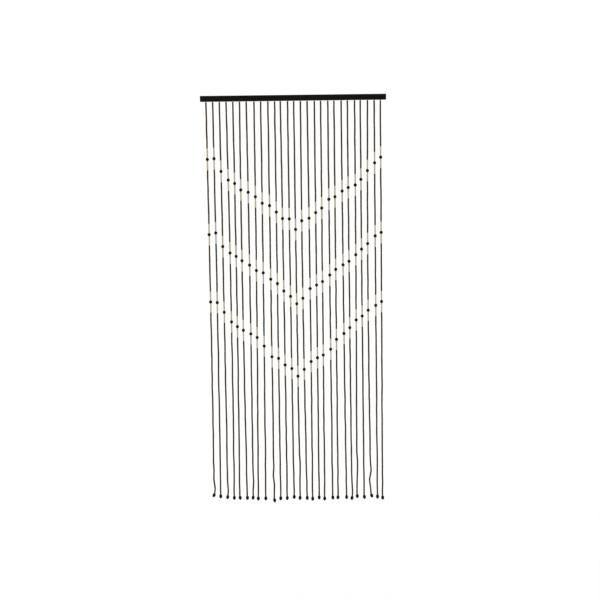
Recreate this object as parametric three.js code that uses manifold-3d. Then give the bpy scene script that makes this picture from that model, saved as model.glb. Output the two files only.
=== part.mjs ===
// Bead curtain with its hanging bar, as it hangs: strings of thin tubes, three V rows of round
// beads between pale tubes, and an oval bead at the foot of every strand.
// Millimetres, +Z up, +X along the bar, +Y to the back. The origin is the middle of the bar's back.

import * as THREE from "three";
import { mergeVertices } from "three/addons/utils/BufferGeometryUtils.js";
import Module from "manifold-3d";

// Bar: a planed lath with eased edges
const BAR_LENGTH = 900;
const BAR_HEIGHT = 26;
const BAR_DEPTH = 18;
const BAR_EASING = 1.5;
const EASING_STEPS = 2;

// Strings: each is fixed in a blind hole in the bar's underside, and shows bare under it
const STRING_RADIUS = 1;
const STRING_IN_BAR = 10;
const STRING_BARE = 3;
const HOLE_CLEARANCE = 0.4;
const DRILL_OVERRUN = 1;

// Tubes: one thickness throughout, with a groove where the ends of two colours meet. The lowest tube
// of a strand is cut to a share of the others' length.
const TUBE_RADIUS = 3.75;
const TUBE_LENGTH = 46;
const FOOT_SHARE = 0.5;
const GROOVE_DEPTH = 1.4;
const GROOVE_WIDTH = 1.6;

// Beads: round ones between pale tubes, and an oval one under each strand
const ROUND_BEAD_RADIUS = 8;
const ROUND_BEAD_STEPS = 4;
const END_BEAD_RADIUS = 7.6;
const END_BEAD_LENGTH = 20;
const END_BEAD_MOUTH = 2.6;
const END_BEAD_STEPS = 4;
const SEAT_GAP = 0.3;

// Facets around a strand and around an end bead, and the tubes between two bends of a plain foot
const STRAND_SIDES = 6;
const END_BEAD_SIDES = 8;
const TUBES_PER_BEND = 6;

// Layout of the strands, with depths taken from the bar's middle line
const STRAND_PITCH = 32.5;
const END_BEAD_DEPTH = 1975;
const SWING = 4;
const SWING_TURN = 2.4;

// The V rows: how deep the bead on the middle strand hangs, and how far the arms rise from it
const V_ROWS = [
  { apex: 635, rise: 350 },
  { apex: 1000, rise: 350 },
  { apex: 1355, rise: 370 },
];

// How each strand departs from the even layout, left to right, in millimetres and degrees.
// aside: its hole, to the right. first, second, third: its round beads, upwards. foot: its end
// bead, upwards. bow: its middle, to the right. lean: its foot, to the right. tilt: the end bead's
// lower end, to the right.
const COLUMNS = ["aside", "first", "second", "third", "foot", "bow", "lean", "tilt"];
const UNEVEN = [
  [0, -5, -5, 0, 20, 2.5, 0, -20],
  [0, 25, 30, 25, 15, 2.5, 0, 0],
  [0, -10, -10, 5, 10, 2.5, 2.5, -10],
  [0, -25, -15, -15, 5, 5, 2.5, 0],
  [0, -15, -5, -10, 5, 2.5, -2.5, 10],
  [0, -20, 0, 0, 5, -2.5, 2.5, 5],
  [0, -5, 5, 10, 5, 2.5, 0, -5],
  [5, 0, 5, 20, 0, 0, -12.5, 0],
  [5, -5, 20, 5, 0, 0, -7.5, 0],
  [7.5, 10, 15, -20, -10, 0, 0, 10],
  [7.5, 5, 20, 0, 0, 0, 0, 0],
  [2.5, 0, 10, -5, 0, 2.5, 5, 0],
  [5, 25, 10, 5, 5, 0, 5, 0],
  [2.5, 0, 0, -5, 0, 0, 5, -5],
  [2.5, 15, 0, 0, 0, -2.5, 7.5, 0],
  [2.5, 0, 20, 10, -5, 2.5, 2.5, 0],
  [5, 0, 10, 0, 0, 0, 0, 0],
  [2.5, -5, 0, -15, -5, 0, -2.5, 0],
  [5, 10, 5, -15, 0, 0, 2.5, 5],
  [2.5, -5, 5, 5, 0, 0, 0, -5],
  [5, -5, 0, 5, 0, 0, 7.5, 0],
  [2.5, -15, -10, 5, -5, 0, 5, -10],
  [5, -30, -5, 15, 5, 0, -5, 5],
  [0, -30, -5, 5, 0, 0, 2.5, 10],
  [2.5, -15, -5, 5, 5, -5, 2.5, 20],
  [2.5, -5, 5, 0, 0, 0, 2.5, 0],
  [0, -5, -5, -10, -5, 0, -2.5, 5],
];

// Joints that hang out of line: the strand, which joint up from its foot, and how far to the right
const KINKS = [
  { strand: 1, joint: 1, by: 5 },
  { strand: 3, joint: 1, by: 2.5 },
  { strand: 7, joint: 2, by: 2.5 },
  { strand: 10, joint: 2, by: 2.5 },
  { strand: 10, joint: 3, by: -2.5 },
  { strand: 14, joint: 3, by: 2.5 },
  { strand: 14, joint: 4, by: 2.5 },
  { strand: 22, joint: 1, by: 2.5 },
  { strand: 23, joint: 3, by: 2.5 },
  { strand: 23, joint: 4, by: 2.5 },
  { strand: 25, joint: 2, by: -5 },
  { strand: 25, joint: 3, by: 2.5 },
];

// Finishes of the stained wood
const BAR_FINISH = { color: 0x1e1a17, roughness: 0.5, metalness: 0 };
const TUBE_FINISH = { color: 0x4d412f, roughness: 0.6, metalness: 0 };
const BEAD_FINISH = { color: 0x17130f, roughness: 0.4, metalness: 0 };

// Heights and lengths that follow from the sizes above
const BAR_UNDERSIDE = -BAR_HEIGHT / 2;
const STRING_TOP = BAR_UNDERSIDE + STRING_IN_BAR;
const TUBES_TOP = BAR_UNDERSIDE - STRING_BARE;
const MIDDLE_STRAND = (UNEVEN.length - 1) / 2;
const ROUND_BEAD_SEAT = Math.sqrt(ROUND_BEAD_RADIUS ** 2 - TUBE_RADIUS ** 2);
const PALE_REACH = ROUND_BEAD_SEAT + TUBE_LENGTH;

const wasm = await Module();
wasm.setup();

// A strand's place, its bead heights, and the tubes between its last V row and its foot: so many
// equal ones above the short lowest one
function layOut(row, index) {
  const uneven = Object.fromEntries(COLUMNS.map((name, column) => [name, row[column]]));
  const share = Math.abs(index - MIDDLE_STRAND) / MIDDLE_STRAND;
  const lifts = [uneven.first, uneven.second, uneven.third];
  const beads = V_ROWS.map((v, k) => v.rise * share - v.apex + lifts[k]);
  const tilt = THREE.MathUtils.degToRad(uneven.tilt);
  const seat = SEAT_GAP + END_BEAD_MOUTH * Math.sin(Math.abs(tilt));
  const foot = uneven.foot - END_BEAD_DEPTH + END_BEAD_LENGTH / 2 + seat;
  const run = beads.at(-1) - PALE_REACH - foot;
  const tubes = Math.round(run / TUBE_LENGTH - FOOT_SHARE);
  return {
    number: index + 1,
    x: (index - MIDDLE_STRAND) * STRAND_PITCH + uneven.aside,
    beads,
    foot,
    tubes,
    tubeLength: run / (tubes + FOOT_SHARE),
    bow: uneven.bow,
    lean: uneven.lean,
    tilt,
    seat,
    kinks: KINKS.filter((kink) => kink.strand === index + 1),
  };
}

// Height of a joint, where the first joint is at the top of the short tube
function jointHeight(strand, joint) {
  return strand.foot + (joint - 1 + FOOT_SHARE) * strand.tubeLength;
}

// Where a strand's middle line runs at a height: it bows in the middle, leans aside and swings a
// little to the front towards its foot, and bends at its kinks
function middleLine(strand, height) {
  const hung = Math.max(0, TUBES_TOP - height) / (TUBES_TOP - strand.foot);
  let x = strand.x + strand.lean * hung ** 2 + 4 * strand.bow * hung * (1 - hung);
  for (const kink of strand.kinks) {
    const away = Math.abs(height - jointHeight(strand, kink.joint)) / strand.tubeLength;
    x += kink.by * Math.max(0, 1 - away);
  }
  const swing = SWING * Math.sin(SWING_TURN * strand.number) ** 2;
  return { x, y: -BAR_DEPTH / 2 - swing * hung ** 2 };
}

// The joints of a strand's foot that need a ring: a few along its lean, and those about each kink
function bendJoints(strand) {
  const joints = new Set();
  for (let joint = TUBES_PER_BEND; joint <= strand.tubes; joint += TUBES_PER_BEND) {
    joints.add(joint);
  }
  for (const { joint } of strand.kinks) {
    joints.add(joint - 1).add(joint).add(joint + 1);
  }
  joints.delete(0);
  return [...joints].sort((a, b) => a - b);
}

// Rings of an oval bead from its lower mouth to its upper one, as radius and height
function beadRings(radius, length, mouth, steps) {
  const mouthLatitude = Math.acos(mouth / radius);
  const halfHeight = length / 2 / Math.sin(mouthLatitude);
  const rings = [];
  for (let step = 0; step <= steps; step += 1) {
    const latitude = (2 * step / steps - 1) * mouthLatitude;
    rings.push([radius * Math.cos(latitude), halfHeight * Math.sin(latitude)]);
  }
  return rings;
}

// A turned solid about the vertical, from rings that run upwards, with its two ends closed
function turned(rings, sides) {
  const closed = [[0, rings[0][1]], ...rings, [0, rings.at(-1)[1]]];
  const profile = closed.map(([radius, height]) => new THREE.Vector2(radius, height));
  return new THREE.LatheGeometry(profile, sides).rotateX(Math.PI / 2);
}

// The three rings of a groove between two tubes
function grooveRings(height) {
  return [
    [TUBE_RADIUS, height - GROOVE_WIDTH / 2],
    [TUBE_RADIUS - GROOVE_DEPTH, height],
    [TUBE_RADIUS, height + GROOVE_WIDTH / 2],
  ];
}

// All the rings of a strand, from its foot up to the top of its string
function strandRings(strand) {
  const rings = [[TUBE_RADIUS, strand.foot]];
  for (const joint of bendJoints(strand)) {
    rings.push([TUBE_RADIUS, jointHeight(strand, joint)]);
  }
  const bead = beadRings(ROUND_BEAD_RADIUS, 2 * ROUND_BEAD_SEAT, TUBE_RADIUS, ROUND_BEAD_STEPS);
  for (const middle of strand.beads.toReversed()) {
    rings.push(...grooveRings(middle - PALE_REACH));
    rings.push(...bead.map(([radius, height]) => [radius, middle + height]));
    rings.push(...grooveRings(middle + PALE_REACH));
  }
  rings.push([TUBE_RADIUS, TUBES_TOP], [STRING_RADIUS, TUBES_TOP], [STRING_RADIUS, STRING_TOP]);
  return rings;
}

// A strand's solid: turned straight, then shifted ring by ring onto its middle line
function strandGeometry(strand) {
  const geometry = turned(strandRings(strand), STRAND_SIDES);
  const position = geometry.attributes.position;
  for (let i = 0; i < position.count; i += 1) {
    const middle = middleLine(strand, position.getZ(i));
    position.setX(i, position.getX(i) + middle.x);
    position.setY(i, position.getY(i) + middle.y);
  }
  return geometry;
}

// The lath before drilling, its back on the plane Y = 0
function lathGeometry() {
  const halfLength = BAR_LENGTH / 2 - BAR_EASING;
  const halfHeight = BAR_HEIGHT / 2 - BAR_EASING;
  const face = new THREE.Shape();
  face.moveTo(-halfLength, -halfHeight);
  face.lineTo(halfLength, -halfHeight);
  face.lineTo(halfLength, halfHeight);
  face.lineTo(-halfLength, halfHeight);
  const lath = new THREE.ExtrudeGeometry(face, {
    depth: BAR_DEPTH - 2 * BAR_EASING,
    bevelSize: BAR_EASING,
    bevelThickness: BAR_EASING,
    bevelSegments: EASING_STEPS,
  });
  return lath.translate(0, 0, BAR_EASING).rotateX(Math.PI / 2);
}

// The space that the drill clears for one string
function holeGeometry(strand) {
  const radius = STRING_RADIUS + HOLE_CLEARANCE;
  const depth = STRING_IN_BAR + HOLE_CLEARANCE + DRILL_OVERRUN;
  const hole = new THREE.CylinderGeometry(radius, radius, depth, STRAND_SIDES);
  const middle = BAR_UNDERSIDE - DRILL_OVERRUN + depth / 2;
  return hole.rotateX(Math.PI / 2).translate(strand.x, -BAR_DEPTH / 2, middle);
}

// A closed geometry as a solid that can be cut
function solidOf(geometry) {
  geometry.deleteAttribute("normal");
  geometry.deleteAttribute("uv");
  const merged = mergeVertices(geometry);
  const mesh = new wasm.Mesh({
    numProp: 3,
    vertProperties: merged.attributes.position.array,
    triVerts: new Uint32Array(merged.index.array),
  });
  return new wasm.Manifold(mesh);
}

// The drilled bar
function barGeometry(strands) {
  let bar = solidOf(lathGeometry());
  for (const strand of strands) {
    bar = bar.subtract(solidOf(holeGeometry(strand)));
  }
  const { vertProperties, triVerts } = bar.getMesh();
  const geometry = new THREE.BufferGeometry();
  geometry.setAttribute("position", new THREE.BufferAttribute(vertProperties, 3));
  geometry.setIndex(new THREE.BufferAttribute(triVerts, 1));
  return geometry;
}

// One named piece of stained wood
function piece(name, geometry, finish) {
  const mesh = new THREE.Mesh(geometry, new THREE.MeshStandardMaterial(finish));
  mesh.name = name;
  return mesh;
}

// An end bead under its strand, tilted about the mouth of the last tube
function hungEndBead(strand, label) {
  const rings = beadRings(END_BEAD_RADIUS, END_BEAD_LENGTH, END_BEAD_MOUTH, END_BEAD_STEPS);
  const bead = piece(`end_bead_${label}`, turned(rings, END_BEAD_SIDES), BEAD_FINISH);
  bead.position.z = -END_BEAD_LENGTH / 2;
  const hanger = new THREE.Group();
  const { x, y } = middleLine(strand, strand.foot);
  hanger.position.set(x, y, strand.foot - strand.seat);
  hanger.rotation.y = -strand.tilt;
  hanger.add(bead);
  return hanger;
}

const strands = UNEVEN.map(layOut);
const curtain = new THREE.Group();
curtain.add(piece("bar", barGeometry(strands), BAR_FINISH));
for (const strand of strands) {
  const label = String(strand.number).padStart(2, "0");
  curtain.add(piece(`strand_${label}`, strandGeometry(strand), TUBE_FINISH));
  curtain.add(hungEndBead(strand, label));
}

export default curtain;
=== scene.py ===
import math

import bpy
import numpy as np
from mathutils import Matrix, Vector


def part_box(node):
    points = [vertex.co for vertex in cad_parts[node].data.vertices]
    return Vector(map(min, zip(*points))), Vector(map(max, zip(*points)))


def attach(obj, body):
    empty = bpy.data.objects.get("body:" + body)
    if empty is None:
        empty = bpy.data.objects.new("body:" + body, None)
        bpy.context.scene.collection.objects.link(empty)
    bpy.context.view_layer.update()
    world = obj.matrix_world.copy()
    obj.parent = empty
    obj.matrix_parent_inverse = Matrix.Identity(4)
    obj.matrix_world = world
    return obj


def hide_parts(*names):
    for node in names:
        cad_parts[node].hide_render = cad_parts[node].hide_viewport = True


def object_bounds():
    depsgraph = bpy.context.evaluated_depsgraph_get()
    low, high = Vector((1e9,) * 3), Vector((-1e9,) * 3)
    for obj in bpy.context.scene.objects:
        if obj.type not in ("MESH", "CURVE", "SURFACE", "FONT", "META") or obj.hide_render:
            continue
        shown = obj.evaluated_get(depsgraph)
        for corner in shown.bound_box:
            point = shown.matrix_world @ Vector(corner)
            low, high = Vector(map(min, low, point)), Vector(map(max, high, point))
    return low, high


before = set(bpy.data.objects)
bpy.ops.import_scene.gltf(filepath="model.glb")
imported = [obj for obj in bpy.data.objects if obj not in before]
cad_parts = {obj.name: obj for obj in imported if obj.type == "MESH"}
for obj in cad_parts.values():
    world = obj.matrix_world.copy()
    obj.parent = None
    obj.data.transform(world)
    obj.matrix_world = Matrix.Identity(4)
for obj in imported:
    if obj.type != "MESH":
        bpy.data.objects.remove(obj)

cad_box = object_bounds()

# Camera: about four metres in front of the curtain and two thirds of the way up it, looking a
# little down and to the right. Its slight roll gives the bar the slope that the photograph shows.
CAMERA_PLACE = (-0.012, -4.1042, -0.6865)
CAMERA_DOWN = math.radians(4.123)
CAMERA_TO_RIGHT = math.radians(0.447)
CAMERA_ROLL = math.radians(-0.79)
CAMERA_LENS = 50

bpy.ops.object.select_all(action="DESELECT")
bpy.ops.object.camera_add()
camera = bpy.context.object
camera.data.lens = CAMERA_LENS
camera.matrix_world = (
    Matrix.Translation(CAMERA_PLACE)
    @ Matrix.Rotation(-CAMERA_TO_RIGHT, 4, "Z")
    @ Matrix.Rotation(math.pi / 2 - CAMERA_DOWN, 4, "X")
    @ Matrix.Rotation(CAMERA_ROLL, 4, "Z")
)
bpy.context.scene.camera = camera

# Hanging bar: a planed lath of straight-grained wood with its edges eased, stained near black and
# waxed. The grain only just shows through the stain, and the edges have rubbed a little browner.
MM = 0.001
BAR_EASING = 1.5 * MM
BAR_EASING_STEPS = 3
BAR_STAIN = (0.0075, 0.0062, 0.0053, 1)
BAR_GRAIN = (0.0150, 0.0116, 0.0092, 1)
BAR_RUBBED = (0.040, 0.026, 0.017, 1)
BAR_FIBRES = (7, 420, 420)
BAR_FIGURE = (1.6, 60, 60)
BAR_FIBRE_SHARE = 0.6
BAR_GRAIN_LIMITS = 0.35, 0.65
BAR_GRAIN_DEPTH = 0.25 * MM
BAR_WEAR_LIMITS = 0.4, 0.7
BAR_ROUGHNESS = 0.42, 0.64
MIX_FACTOR, MIX_FIRST, MIX_SECOND, MIX_RESULT = 0, 6, 7, 2


class Channel:
    """One socket of a material. Arithmetic on it adds Math nodes, and node() adds any other."""

    def __init__(self, tree, socket):
        self.tree = tree
        self.socket = socket

    def node(self, kind, settings, sockets, out=0):
        """A new node's output: its settings are set first, then its sockets' values or links."""
        added = self.tree.nodes.new(kind)
        for name, setting in settings.items():
            setattr(added, name, setting)
        for name, value in sockets.items():
            if isinstance(value, Channel):
                self.tree.links.new(value.socket, added.inputs[name])
            else:
                added.inputs[name].default_value = value
        return Channel(self.tree, added.outputs[out])

    def math(self, operation, first, second):
        return self.node("ShaderNodeMath", {"operation": operation}, {0: first, 1: second})

    def __add__(self, other):
        return self.math("ADD", self, other)

    def __radd__(self, other):
        return self.math("ADD", other, self)

    def __mul__(self, other):
        return self.math("MULTIPLY", self, other)

    def __rmul__(self, other):
        return self.math("MULTIPLY", other, self)

    def __abs__(self):
        return self.math("ABSOLUTE", self, 0)

    def ramp(self, start, end):
        """Rises smoothly from 0 to 1 between two values."""
        limits = {"Value": self, "From Min": start, "From Max": end}
        return self.node("ShaderNodeMapRange", {"interpolation_type": "SMOOTHSTEP"}, limits)

    def between(self, low, high):
        """Goes from the low number to the high one as this value goes from 0 to 1."""
        return low + (high - low) * self

    def stretched(self, scale):
        return self.node("ShaderNodeVectorMath", {"operation": "MULTIPLY"}, {0: self, 1: scale})

    def shifted(self, amount):
        """Moves a place by the same amount along all three axes."""
        return self.node("ShaderNodeVectorMath", {"operation": "ADD"}, {0: self, 1: amount})

    def noise(self, detail):
        sockets = {"Vector": self, "Scale": 1, "Detail": detail}
        return self.node("ShaderNodeTexNoise", {}, sockets)

    def mix(self, first, second):
        """Goes from the first colour to the second as this value goes from 0 to 1."""
        sockets = {MIX_FACTOR: self, MIX_FIRST: first, MIX_SECOND: second}
        return self.node("ShaderNodeMix", {"data_type": "RGBA"}, sockets, MIX_RESULT)

    def bump(self, depth):
        return self.node("ShaderNodeBump", {}, {"Height": self, "Distance": depth}, "Normal")


class Finish:
    """A material on one principled shader, with the place on the piece to paint it by."""

    def __init__(self, name, gloss):
        self.material = bpy.data.materials.new(name)
        self.material.use_nodes = True
        self.tree = self.material.node_tree
        self.shader = self.tree.nodes["Principled BSDF"]
        self.shader.inputs["Specular IOR Level"].default_value = gloss
        start = Channel(self.tree, self.shader.outputs[0])
        self.place = start.node("ShaderNodeTexCoord", {}, {}, "Object")

    def mark(self, name):
        """A value that the mesh carries at each of its points."""
        settings = {"attribute_type": "GEOMETRY", "attribute_name": name}
        return self.place.node("ShaderNodeAttribute", settings, {}, "Fac")

    def paint(self, **channels):
        """Links channels to the shader's sockets: Base_Color stands for Base Color."""
        for name, channel in channels.items():
            self.tree.links.new(channel.socket, self.shader.inputs[name.replace("_", " ")])

    def put_on(self, piece):
        piece.data.materials.clear()
        piece.data.materials.append(self.material)


bpy.ops.object.select_all(action="DESELECT")
bar_low, bar_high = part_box("bar")
bar_middle = (bar_low + bar_high) / 2
bar_size = bar_high - bar_low
bpy.ops.mesh.primitive_cube_add(size=1, location=bar_middle)
lath = bpy.context.object
lath.name = "lath"
lath.scale = bar_size
bpy.ops.object.transform_apply(location=True, rotation=True, scale=True)
bpy.ops.object.mode_set(mode="EDIT")
bpy.ops.mesh.bevel(offset=BAR_EASING, segments=BAR_EASING_STEPS, affect="EDGES")
bpy.ops.object.mode_set(mode="OBJECT")

bar_finish = Finish("near_black_stained_lath", gloss=0.08)
bar_place = bar_finish.place
fibres = bar_place.stretched(BAR_FIBRES).noise(detail=5)
figure = bar_place.stretched(BAR_FIGURE).noise(detail=2)
grain = (BAR_FIBRE_SHARE * fibres + (1 - BAR_FIBRE_SHARE) * figure).ramp(*BAR_GRAIN_LIMITS)
from_middle = bar_place.node(
    "ShaderNodeVectorMath", {"operation": "SUBTRACT"}, {0: bar_place, 1: bar_middle}
)
across = {
    axis: abs(from_middle.node("ShaderNodeSeparateXYZ", {}, {0: from_middle}, axis))
    for axis in "YZ"
}
near_front_or_back = across["Y"].ramp(bar_size.y / 2 - BAR_EASING, bar_size.y / 2)
near_top_or_underside = across["Z"].ramp(bar_size.z / 2 - BAR_EASING, bar_size.z / 2)
rubbed = near_front_or_back * near_top_or_underside * fibres.ramp(*BAR_WEAR_LIMITS)
bar_finish.paint(
    Base_Color=rubbed.mix(grain.mix(BAR_STAIN, BAR_GRAIN), BAR_RUBBED),
    Roughness=grain.between(*BAR_ROUGHNESS),
    Normal=fibres.bump(BAR_GRAIN_DEPTH),
)
bar_finish.put_on(lath)
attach(lath, "root")
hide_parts("bar")

# How the strands hang: each from a countersunk hole drilled up into the bar's underside, along the
# middle line of its solid, with round beads where the solid bulges. Its tubes are loose on the
# string and meet a little out of line, the more so the less weight hangs below them.
STRAND_COUNT = 27
RING_STEP = 0.2 * MM
BULGE_SHARE = 0.95
ROUND_BEAD_RADIUS = 8 * MM
TUBE_RADIUS = 3.75 * MM
TUBE_LENGTH = 46 * MM
FOOT_SHARE = 0.5
PALE_REACH = math.sqrt(ROUND_BEAD_RADIUS**2 - TUBE_RADIUS**2) + TUBE_LENGTH
SLACK_AT_TOP = 0.6 * MM
SLACK_AT_FOOT = 1 * MM
HOLE_RADIUS = 1.4 * MM
HOLE_DEPTH = 10.4 * MM
HOLE_SIDES = 12
COUNTERSINK = 0.5 * MM
DRILL_OVERRUN = 1 * MM
NEARLY = 0.999
chance = np.random.default_rng(27)


class Strand:
    """The middle line of one strand's solid, from its foot to the top of its string."""

    def __init__(self, number):
        self.label = f"{number:02d}"
        self.node = f"strand_{self.label}"
        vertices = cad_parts[self.node].data.vertices
        points = np.array([vertex.co for vertex in vertices])
        points = points[np.argsort(points[:, 2])]
        steps = np.flatnonzero(np.diff(points[:, 2]) > RING_STEP) + 1
        rings = np.split(points, steps)
        self.line = np.array([(ring.min(axis=0) + ring.max(axis=0)) / 2 for ring in rings])
        reach = np.array([np.ptp(ring, axis=0).max() / 2 for ring in rings])
        self.heights = self.line[:, 2]
        self.beads = self.heights[reach > BULGE_SHARE * ROUND_BEAD_RADIUS]
        self.foot = self.heights[0]
        self.tubes_top = self.heights[-2]
        self.string_top = self.heights[-1]
        bottoms = [self.foot, *(self.beads + PALE_REACH)]
        tops = [*(self.beads - PALE_REACH), self.tubes_top]
        self.dark_runs = [self.tube_joints(bottom, top) for bottom, top in zip(bottoms, tops)]

    def at(self, height):
        x, y = (np.interp(height, self.heights, self.line[:, axis]) for axis in range(2))
        return Vector((x, y, height))

    def tube_joints(self, bottom, top):
        """Ends of equal dark tubes between two heights. The strand's lowest tube is a short one."""
        lowest = FOOT_SHARE if bottom == self.foot else 1
        others = round((top - bottom) / TUBE_LENGTH - lowest)
        tubes_below = np.array([0, *(lowest + np.arange(others + 1))])
        heights = bottom + (top - bottom) * tubes_below / tubes_below[-1]
        joints = [self.at(height) for height in heights]
        for joint in joints[1:-1]:
            slack = np.interp(joint.z, [self.foot, self.tubes_top], [SLACK_AT_FOOT, SLACK_AT_TOP])
            joint.xy += Vector(slack * chance.uniform(-1, 1, 2))
        return joints


def choose_faces(piece, wanted):
    """Goes into edit mode with only the faces that are wanted selected."""
    bpy.ops.object.mode_set(mode="EDIT")
    bpy.ops.mesh.select_mode(type="FACE")
    bpy.ops.mesh.select_all(action="DESELECT")
    bpy.ops.object.mode_set(mode="OBJECT")
    for face in piece.data.polygons:
        face.select = wanted(face)
    bpy.ops.object.mode_set(mode="EDIT")


def shape_of(piece):
    """Takes a modelled piece's points and faces, to be copied, and removes the piece."""
    bpy.ops.object.mode_set(mode="OBJECT")
    points = np.array([vertex.co for vertex in piece.data.vertices])
    faces = [tuple(face.vertices) for face in piece.data.polygons]
    bpy.data.objects.remove(piece)
    return points, faces


def placed(points, matrix):
    turn = np.array(matrix.to_3x3())
    return points @ turn.T + np.array(matrix.translation)


def joined(name, shapes):
    """One object from many shapes, each given as its points and faces."""
    points = np.concatenate([points for points, faces in shapes])
    starts = np.cumsum([0] + [len(points) for points, faces in shapes])
    faces = [
        tuple(start + corner for corner in face)
        for start, (_, shape_faces) in zip(starts.tolist(), shapes)
        for face in shape_faces
    ]
    mesh = bpy.data.meshes.new(name)
    mesh.from_pydata(points.tolist(), [], faces)
    piece = bpy.data.objects.new(name, mesh)
    bpy.context.scene.collection.objects.link(piece)
    return piece


def smoothed(piece, angle=40):
    """Shades a piece smooth over edges flatter than an angle in degrees."""
    bpy.ops.object.select_all(action="DESELECT")
    piece.select_set(True)
    bpy.context.view_layer.objects.active = piece
    bpy.ops.object.shade_smooth_by_angle(angle=math.radians(angle))
    return piece


strands = [Strand(number + 1) for number in range(STRAND_COUNT)]
strand_nodes = [strand.node for strand in strands]

bpy.ops.object.select_all(action="DESELECT")
straight_part = HOLE_DEPTH - COUNTERSINK
bpy.ops.mesh.primitive_cylinder_add(
    vertices=HOLE_SIDES,
    radius=HOLE_RADIUS,
    depth=straight_part,
    location=(0, 0, bar_low.z + COUNTERSINK + straight_part / 2),
)
drill = bpy.context.object
bpy.ops.object.transform_apply(location=True)
flare = 1 + COUNTERSINK / HOLE_RADIUS
choose_faces(drill, lambda face: face.normal.z < -NEARLY)
bpy.ops.mesh.extrude_region_move(TRANSFORM_OT_translate={"value": (0, 0, -COUNTERSINK)})
bpy.ops.transform.resize(value=(flare, flare, 1))
bpy.ops.mesh.extrude_region_move(TRANSFORM_OT_translate={"value": (0, 0, -DRILL_OVERRUN)})
drill_points, drill_faces = shape_of(drill)
holes = [np.array([*strand.at(strand.string_top).xy, 0]) for strand in strands]
drills = joined("drills", [(drill_points + hole, drill_faces) for hole in holes])
bpy.ops.object.select_all(action="DESELECT")
bpy.context.view_layer.objects.active = lath
drilled = lath.modifiers.new("drilled", "BOOLEAN")
drilled.object = drills
drilled.operation = "DIFFERENCE"
bpy.ops.object.modifier_apply(modifier="drilled")
bpy.data.objects.remove(drills)
smoothed(lath)
planed = lath.modifiers.new("planed", "WEIGHTED_NORMAL")
planed.keep_sharp = True
bpy.ops.object.modifier_apply(modifier="planed")

# Strings: two-ply twisted natural string, glued into the bar's holes and bare for a few
# millimetres under it. Each runs down through its tubes and beads to a knot under its end bead.
STRING_RADIUS = 1 * MM
STRING_SIDES = 10
PLIES = 2
PLY_DEPTH = 0.24
PLY_TURN = 6.5 * MM
TWIST_STEP = 0.5 * MM
THREADED_RADIUS = 0.8 * MM
END_BEAD_LENGTH = 20 * MM
KNOT_LENGTH = 3.2 * MM
KNOT_RADIUS = 1.9 * MM
KNOT_STEPS = 6
KNOT_NECK = 0.3
KNOT_LOBES = 3
KNOT_LOBE_DEPTH = 0.12
KNOT_TWIST = 2
STRING_COLOUR = (0.30, 0.235, 0.155, 1)
STRING_SHADOW = (0.17, 0.125, 0.075, 1)
STRING_FUZZ = (2500, 2500, 1200)
STRING_FUZZ_LIMITS = 0.3, 0.65
STRING_FUZZ_DEPTH = 0.15 * MM
STRING_ROUGHNESS = 0.8, 0.95


def end_bead_axis(strand):
    """The middle of a strand's end bead, and the way down its bore."""
    low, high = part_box(f"end_bead_{strand.label}")
    middle = (low + high) / 2
    foot = strand.at(strand.foot)
    aside = (middle.xy - foot.xy) / (END_BEAD_LENGTH / 2)
    return middle, Vector((*aside, -math.sqrt(1 - aside.length_squared)))


def string_ring(middle, radius, lobes=PLIES, depth=0, turn=0):
    """A ring of points about a string or knot, lobed by its plies where they have any depth."""
    angles = np.linspace(0, 2 * math.pi, STRING_SIDES, endpoint=False)
    reach = radius * (1 - depth + depth * np.cos(lobes * angles))
    ring = np.tile(np.array(middle), (STRING_SIDES, 1))
    ring[:, 0] += reach * np.cos(angles + turn)
    ring[:, 1] += reach * np.sin(angles + turn)
    return ring


def string_shape(strand):
    """A string from its top in the bar down to its knot, closed at both ends."""
    rings = []
    bare = strand.string_top - strand.tubes_top
    for down in np.arange(0, bare, TWIST_STEP):
        middle = strand.at(strand.string_top - down)
        turn = 2 * math.pi * down / PLY_TURN
        rings.append(string_ring(middle, STRING_RADIUS, PLIES, PLY_DEPTH, turn))
    for run in reversed(strand.dark_runs):
        rings += [string_ring(joint, THREADED_RADIUS) for joint in reversed(run)]
    middle, way_down = end_bead_axis(strand)
    mouth = middle + way_down * END_BEAD_LENGTH / 2
    for step in range(KNOT_STEPS + 1):
        along = step / KNOT_STEPS
        radius = KNOT_RADIUS * max(math.sin(math.pi * along), KNOT_NECK)
        middle = mouth + way_down * KNOT_LENGTH * (along - 0.5)
        rings.append(string_ring(middle, radius, KNOT_LOBES, KNOT_LOBE_DEPTH, KNOT_TWIST * along))
    faces = [tuple(range(STRING_SIDES))]
    for ring in range(len(rings) - 1):
        for side in range(STRING_SIDES):
            start = ring * STRING_SIDES
            following = (side + 1) % STRING_SIDES
            below = start + STRING_SIDES
            faces.append((start + side, below + side, below + following, start + following))
    last = (len(rings) - 1) * STRING_SIDES
    faces.append(tuple(last + side for side in reversed(range(STRING_SIDES))))
    return np.concatenate(rings), faces


strings = smoothed(joined("strings", [string_shape(strand) for strand in strands]), angle=60)
string_finish = Finish("twisted_natural_string", gloss=0.1)
fuzz = string_finish.place.stretched(STRING_FUZZ).noise(detail=3)
string_finish.paint(
    Base_Color=fuzz.ramp(*STRING_FUZZ_LIMITS).mix(STRING_SHADOW, STRING_COLOUR),
    Roughness=fuzz.between(*STRING_ROUGHNESS),
    Normal=fuzz.bump(STRING_FUZZ_DEPTH),
)
string_finish.put_on(strings)
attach(strings, "root")
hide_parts(*strand_nodes)

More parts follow.
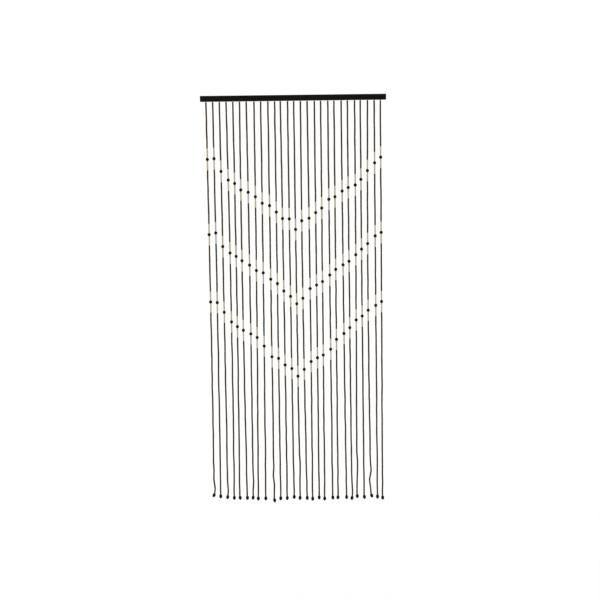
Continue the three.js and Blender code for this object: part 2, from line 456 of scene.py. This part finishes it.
# Dark tubes: lengths of thin brown-stained tube, bored through and cut square, with their rims
# broken. They are threaded end to end, a hair apart, and make up most of every strand.
TUBE_SIDES = 10
TUBE_WALL = 2 * MM
TUBE_RIM = 0.5 * MM
TUBE_SPACE = 0.4 * MM
TUBE_GIRTH_SPREAD = 0.03
DARK_TUBE_COLOURS = (0.052, 0.0255, 0.0042, 1), (0.090, 0.0445, 0.0085, 1)
DARK_TUBE_ENDS = (0.030, 0.015, 0.003, 1)
TUBE_ENDS_START = 0.955
TUBE_ENDS_STRENGTH = 0.7
TUBE_FIBRES = (1500, 1500, 45)
TUBE_GRAIN_LIMITS = 0.25, 0.75
TUBE_GRAIN_SHARE = 0.6
TUBE_GRAIN_DEPTH = 0.2 * MM
TUBE_ROUGHNESS = 0.5, 0.75


def break_rim(piece, end, width, steps):
    """Bevels the outer rim of a tube's or bead's flat end: the upper for 1, the lower for -1."""
    bpy.ops.object.mode_set(mode="EDIT")
    bpy.ops.mesh.select_mode(type="EDGE")
    bpy.ops.mesh.select_all(action="DESELECT")
    bpy.ops.object.mode_set(mode="OBJECT")
    points = [vertex.co for vertex in piece.data.vertices]
    top = max(end * point.z for point in points)
    rim = max(point.xy.length for point in points if end * point.z > NEARLY * top)
    for edge in piece.data.edges:
        corners = [points[corner] for corner in edge.vertices]
        at_end = all(end * point.z > NEARLY * top for point in corners)
        edge.select = at_end and all(point.xy.length > NEARLY * rim for point in corners)
    bpy.ops.object.mode_set(mode="EDIT")
    bpy.ops.mesh.bevel(offset=width, segments=steps)


def bore(piece, wall):
    """Opens a bore between a piece's two flat ends, leaving a wall around it."""
    choose_faces(piece, lambda face: abs(face.normal.z) > NEARLY)
    bpy.ops.mesh.inset(thickness=wall)
    bpy.ops.mesh.bridge_edge_loops()
    bpy.ops.mesh.select_all(action="SELECT")
    bpy.ops.mesh.normals_make_consistent(inside=False)


def threaded_tube(lower, upper, girth, spin):
    """A tube between two places on a strand: its points, and how far along it each lies."""
    points = tube_points * np.array([girth, girth, 1])
    way = upper - lower
    half = (way.length - TUBE_SPACE) / 2
    points[:, 2] += np.sign(points[:, 2]) * (half - TUBE_LENGTH / 2)
    along = points[:, 2] / half
    turn = way.to_track_quat("Z", "Y").to_matrix().to_4x4() @ Matrix.Rotation(spin, 4, "Z")
    return placed(points, Matrix.Translation((lower + upper) / 2) @ turn), along


def tube_piece(name, tube_ends, colour_finish):
    """One object of tubes, each between two places on its strand."""
    shapes, tones, alongs = [], [], []
    for lower, upper in tube_ends:
        girth = 1 + TUBE_GIRTH_SPREAD * chance.uniform(-1, 1)
        points, along = threaded_tube(lower, upper, girth, chance.uniform(0, 2 * math.pi))
        shapes.append((points, tube_faces))
        tones.append(np.full(len(points), chance.uniform(0, 1)))
        alongs.append(along)
    piece = smoothed(joined(name, shapes))
    for mark, values in {"tone": tones, "along": alongs}.items():
        attribute = piece.data.attributes.new(mark, "FLOAT", "POINT")
        attribute.data.foreach_set("value", np.concatenate(values))
    colour_finish.put_on(piece)
    return piece


def tube_finish(name, colours, ends):
    """Fine lengthwise grain in two colours, lighter on some tubes than others, and darker ends."""
    finish = Finish(name, gloss=0.2)
    tone = finish.mark("tone")
    grain = finish.place.shifted(tone).stretched(TUBE_FIBRES).noise(detail=3)
    fibres = grain.ramp(*TUBE_GRAIN_LIMITS)
    shade = (TUBE_GRAIN_SHARE * fibres + (1 - TUBE_GRAIN_SHARE) * tone).ramp(0, 1)
    at_end = abs(finish.mark("along")).ramp(TUBE_ENDS_START, 1)
    finish.paint(
        Base_Color=(TUBE_ENDS_STRENGTH * at_end).mix(shade.mix(*colours), ends),
        Roughness=grain.between(*TUBE_ROUGHNESS),
        Normal=grain.bump(TUBE_GRAIN_DEPTH),
    )
    return finish


bpy.ops.object.select_all(action="DESELECT")
bpy.ops.mesh.primitive_cylinder_add(vertices=TUBE_SIDES, radius=TUBE_RADIUS, depth=TUBE_LENGTH)
tube = bpy.context.object
bore(tube, TUBE_WALL)
for end in (1, -1):
    break_rim(tube, end, TUBE_RIM, steps=1)
tube_points, tube_faces = shape_of(tube)

dark_finish = tube_finish("brown_stained_tube", DARK_TUBE_COLOURS, DARK_TUBE_ENDS)
for strand in strands:
    tube_ends = [ends for run in strand.dark_runs for ends in zip(run, run[1:])]
    dark_tubes = tube_piece(f"dark_tubes_{strand.label}", tube_ends, dark_finish)
    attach(dark_tubes, "root")
    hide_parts(strand.node)

# Pale tubes: the same tube left its natural colour and only waxed. One hangs above each round bead
# and one below it, on the mouths of its bore, so that the beads stand out in three V rows.
ROUND_BEAD_MOUTH = 2.1 * MM
PALE_TUBE_COLOURS = (0.455, 0.385, 0.265, 1), (0.59, 0.51, 0.375, 1)
PALE_TUBE_ENDS = (0.36, 0.27, 0.16, 1)
ROW_NAMES = ["lower", "middle", "upper"]

mouth_height = math.sqrt(ROUND_BEAD_RADIUS**2 - ROUND_BEAD_MOUTH**2)
pale_finish = tube_finish("natural_pale_tube", PALE_TUBE_COLOURS, PALE_TUBE_ENDS)
for row, row_name in enumerate(ROW_NAMES):
    tube_ends = []
    for strand in strands:
        bead = strand.beads[row]
        tube_ends.append((strand.at(bead - PALE_REACH), strand.at(bead - mouth_height)))
        tube_ends.append((strand.at(bead + mouth_height), strand.at(bead + PALE_REACH)))
    pale_tubes = tube_piece(f"pale_tubes_{row_name}_row", tube_ends, pale_finish)
    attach(pale_tubes, "root")
    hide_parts(*strand_nodes)

# Round beads: turned from wood, bored, stained near black and polished to a satin shine. Three
# hang on each strand, higher towards the sides, which makes the V rows.
ROUND_BEAD_SIDES = 16
ROUND_BEAD_RINGS = 12
BEAD_SIZE_SPREAD = 0.025
BEAD_COLOURS = (0.0042, 0.0035, 0.0026, 1), (0.0105, 0.0082, 0.0058, 1)
BEAD_TURNING = (60, 60, 2600)
BEAD_GRAIN = (420, 420, 110)
BEAD_GRAIN_LIMITS = 0.35, 0.7
BEAD_GRAIN_SHARE = 0.7
BEAD_RELIEF = 0.15 * MM
BEAD_ROUGHNESS = 0.32, 0.52


def bead_piece(name, matrices, points, faces):
    """One object of beads, each at its own place and turn."""
    shapes = [(placed(points, matrix), faces) for matrix in matrices]
    piece = smoothed(joined(name, shapes))
    tones = np.repeat(chance.uniform(0, 1, len(matrices)), len(points))
    attribute = piece.data.attributes.new("tone", "FLOAT", "POINT")
    attribute.data.foreach_set("value", tones)
    bead_finish.put_on(piece)
    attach(piece, "root")
    return piece


def uneven_turn():
    """A bead's chance spin on its string and small difference in size."""
    size = 1 + BEAD_SIZE_SPREAD * chance.uniform(-1, 1)
    spin = chance.uniform(0, 2 * math.pi)
    return Matrix.Rotation(spin, 4, "Z") @ Matrix.Diagonal((size, size, 1, 1))


bead_finish = Finish("near_black_turned_bead", gloss=0.15)
bead_tone = bead_finish.mark("tone")
bead_place = bead_finish.place.shifted(bead_tone)
turning = bead_place.stretched(BEAD_TURNING).noise(detail=2)
bead_grain = bead_place.stretched(BEAD_GRAIN).noise(detail=4)
bead_fibres = bead_grain.ramp(*BEAD_GRAIN_LIMITS)
bead_shade = (BEAD_GRAIN_SHARE * bead_fibres + (1 - BEAD_GRAIN_SHARE) * bead_tone).ramp(0, 1)
bead_finish.paint(
    Base_Color=bead_shade.mix(*BEAD_COLOURS),
    Roughness=bead_grain.between(*BEAD_ROUGHNESS),
    Normal=(turning * 0.5 + bead_grain * 0.5).bump(BEAD_RELIEF),
)

bpy.ops.object.select_all(action="DESELECT")
bpy.ops.mesh.primitive_uv_sphere_add(
    segments=ROUND_BEAD_SIDES, ring_count=ROUND_BEAD_RINGS, radius=ROUND_BEAD_RADIUS
)
round_bead = bpy.context.object
choose_faces(round_bead, lambda face: len(face.vertices) == 3)
bpy.ops.mesh.bridge_edge_loops()
bpy.ops.mesh.select_all(action="SELECT")
bpy.ops.mesh.normals_make_consistent(inside=False)
round_bead_shape = shape_of(round_bead)
for row, row_name in enumerate(ROW_NAMES):
    places = [strand.at(strand.beads[row]) for strand in strands]
    matrices = [Matrix.Translation(place) @ uneven_turn() for place in places]
    round_beads = bead_piece(f"round_beads_{row_name}_row", matrices, *round_bead_shape)
    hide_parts(*strand_nodes)

# End beads: turned ovals of the same stained wood, with their bore mouths cut flat. One hangs from
# each strand's foot on the knotted string, and most hang a little askew.
END_BEAD_RADIUS = 7.6 * MM
END_BEAD_MOUTH = 2.6 * MM
END_BEAD_SIDES = 20
END_BEAD_RINGS = 16
END_BEAD_WALL = 1.1 * MM
END_BEAD_RIM = 0.3 * MM

bpy.ops.object.select_all(action="DESELECT")
bpy.ops.mesh.primitive_uv_sphere_add(
    segments=END_BEAD_SIDES, ring_count=END_BEAD_RINGS, radius=END_BEAD_RADIUS
)
end_bead = bpy.context.object
full_height = END_BEAD_LENGTH / math.sqrt(1 - (END_BEAD_MOUTH / END_BEAD_RADIUS) ** 2)
bpy.ops.object.mode_set(mode="EDIT")
bpy.ops.transform.resize(value=(1, 1, full_height / (2 * END_BEAD_RADIUS)))
for end in (1, -1):
    bpy.ops.mesh.select_all(action="SELECT")
    bpy.ops.mesh.bisect(
        plane_co=(0, 0, end * END_BEAD_LENGTH / 2),
        plane_no=(0, 0, end),
        use_fill=True,
        clear_outer=True,
    )
bore(end_bead, END_BEAD_WALL)
for end in (1, -1):
    break_rim(end_bead, end, END_BEAD_RIM, steps=2)
end_bead_shape = shape_of(end_bead)
for strand in strands:
    middle, way_down = end_bead_axis(strand)
    tilt = (-way_down).to_track_quat("Z", "Y").to_matrix().to_4x4()
    matrix = Matrix.Translation(middle) @ tilt @ uneven_turn()
    oval_bead = bead_piece(f"oval_bead_{strand.label}", [matrix], *end_bead_shape)
    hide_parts(f"end_bead_{strand.label}")

# Floor: plain, pale and matt, well below the end beads, where it throws soft light back up at them.
# It is wide enough to have no edge in view.
FLOOR_SIDE = 400
FLOOR_DROP = 0.9
FLOOR_COLOURS = (0.944, 0.944, 0.944, 1), (0.948, 0.948, 0.948, 1)
FLOOR_ROUGHNESS = 0.9, 0.95

bpy.ops.object.select_all(action="DESELECT")
bpy.ops.mesh.primitive_plane_add(size=FLOOR_SIDE, location=(0, 0, cad_box[0].z - FLOOR_DROP))
floor = bpy.context.object
floor.name = "floor"
bpy.ops.object.transform_apply(location=True)
floor_finish = Finish("pale_floor", gloss=0)
floor_tone = floor_finish.place.noise(detail=2)
floor_finish.paint(
    Base_Color=floor_tone.mix(*FLOOR_COLOURS),
    Roughness=floor_tone.between(*FLOOR_ROUGHNESS),
)
floor_finish.put_on(floor)

# Light: a broad soft lamp high at the front on the left, and an even glow from all round. The
# ground behind the curtain is plain white.
LAMP_STRENGTH = 1.6
LAMP_BREADTH = math.radians(70)
LAMP_HEIGHT = math.radians(55)
LAMP_TO_LEFT = math.radians(30)
GLOW = 0.67
GROUND = 1.012
PRINT_CONTRAST = 0.82

bpy.ops.object.light_add(type="SUN")
lamp = bpy.context.object
lamp.data.energy = LAMP_STRENGTH
lamp.data.angle = LAMP_BREADTH
lamp.rotation_euler = (math.pi / 2 - LAMP_HEIGHT, 0, -LAMP_TO_LEFT)
room = bpy.data.worlds.new("white_room")
bpy.context.scene.world = room
room.use_nodes = True
surface = room.node_tree.nodes["World Output"].inputs["Surface"]
glow = Channel(room.node_tree, room.node_tree.nodes["Background"].outputs[0])
glow.socket.node.inputs["Color"].default_value = (1, 1, 1, 1)
glow.socket.node.inputs["Strength"].default_value = GLOW
ground = glow.node("ShaderNodeBackground", {}, {"Color": (1, 1, 1, 1), "Strength": GROUND})
seen = glow.node("ShaderNodeLightPath", {}, {}, "Is Camera Ray")
both = glow.node("ShaderNodeMixShader", {}, {0: seen, 1: glow, 2: ground})
room.node_tree.links.new(both.socket, surface)
bpy.context.scene.view_settings.view_transform = "Standard"
bpy.context.scene.view_settings.gamma = PRINT_CONTRAST
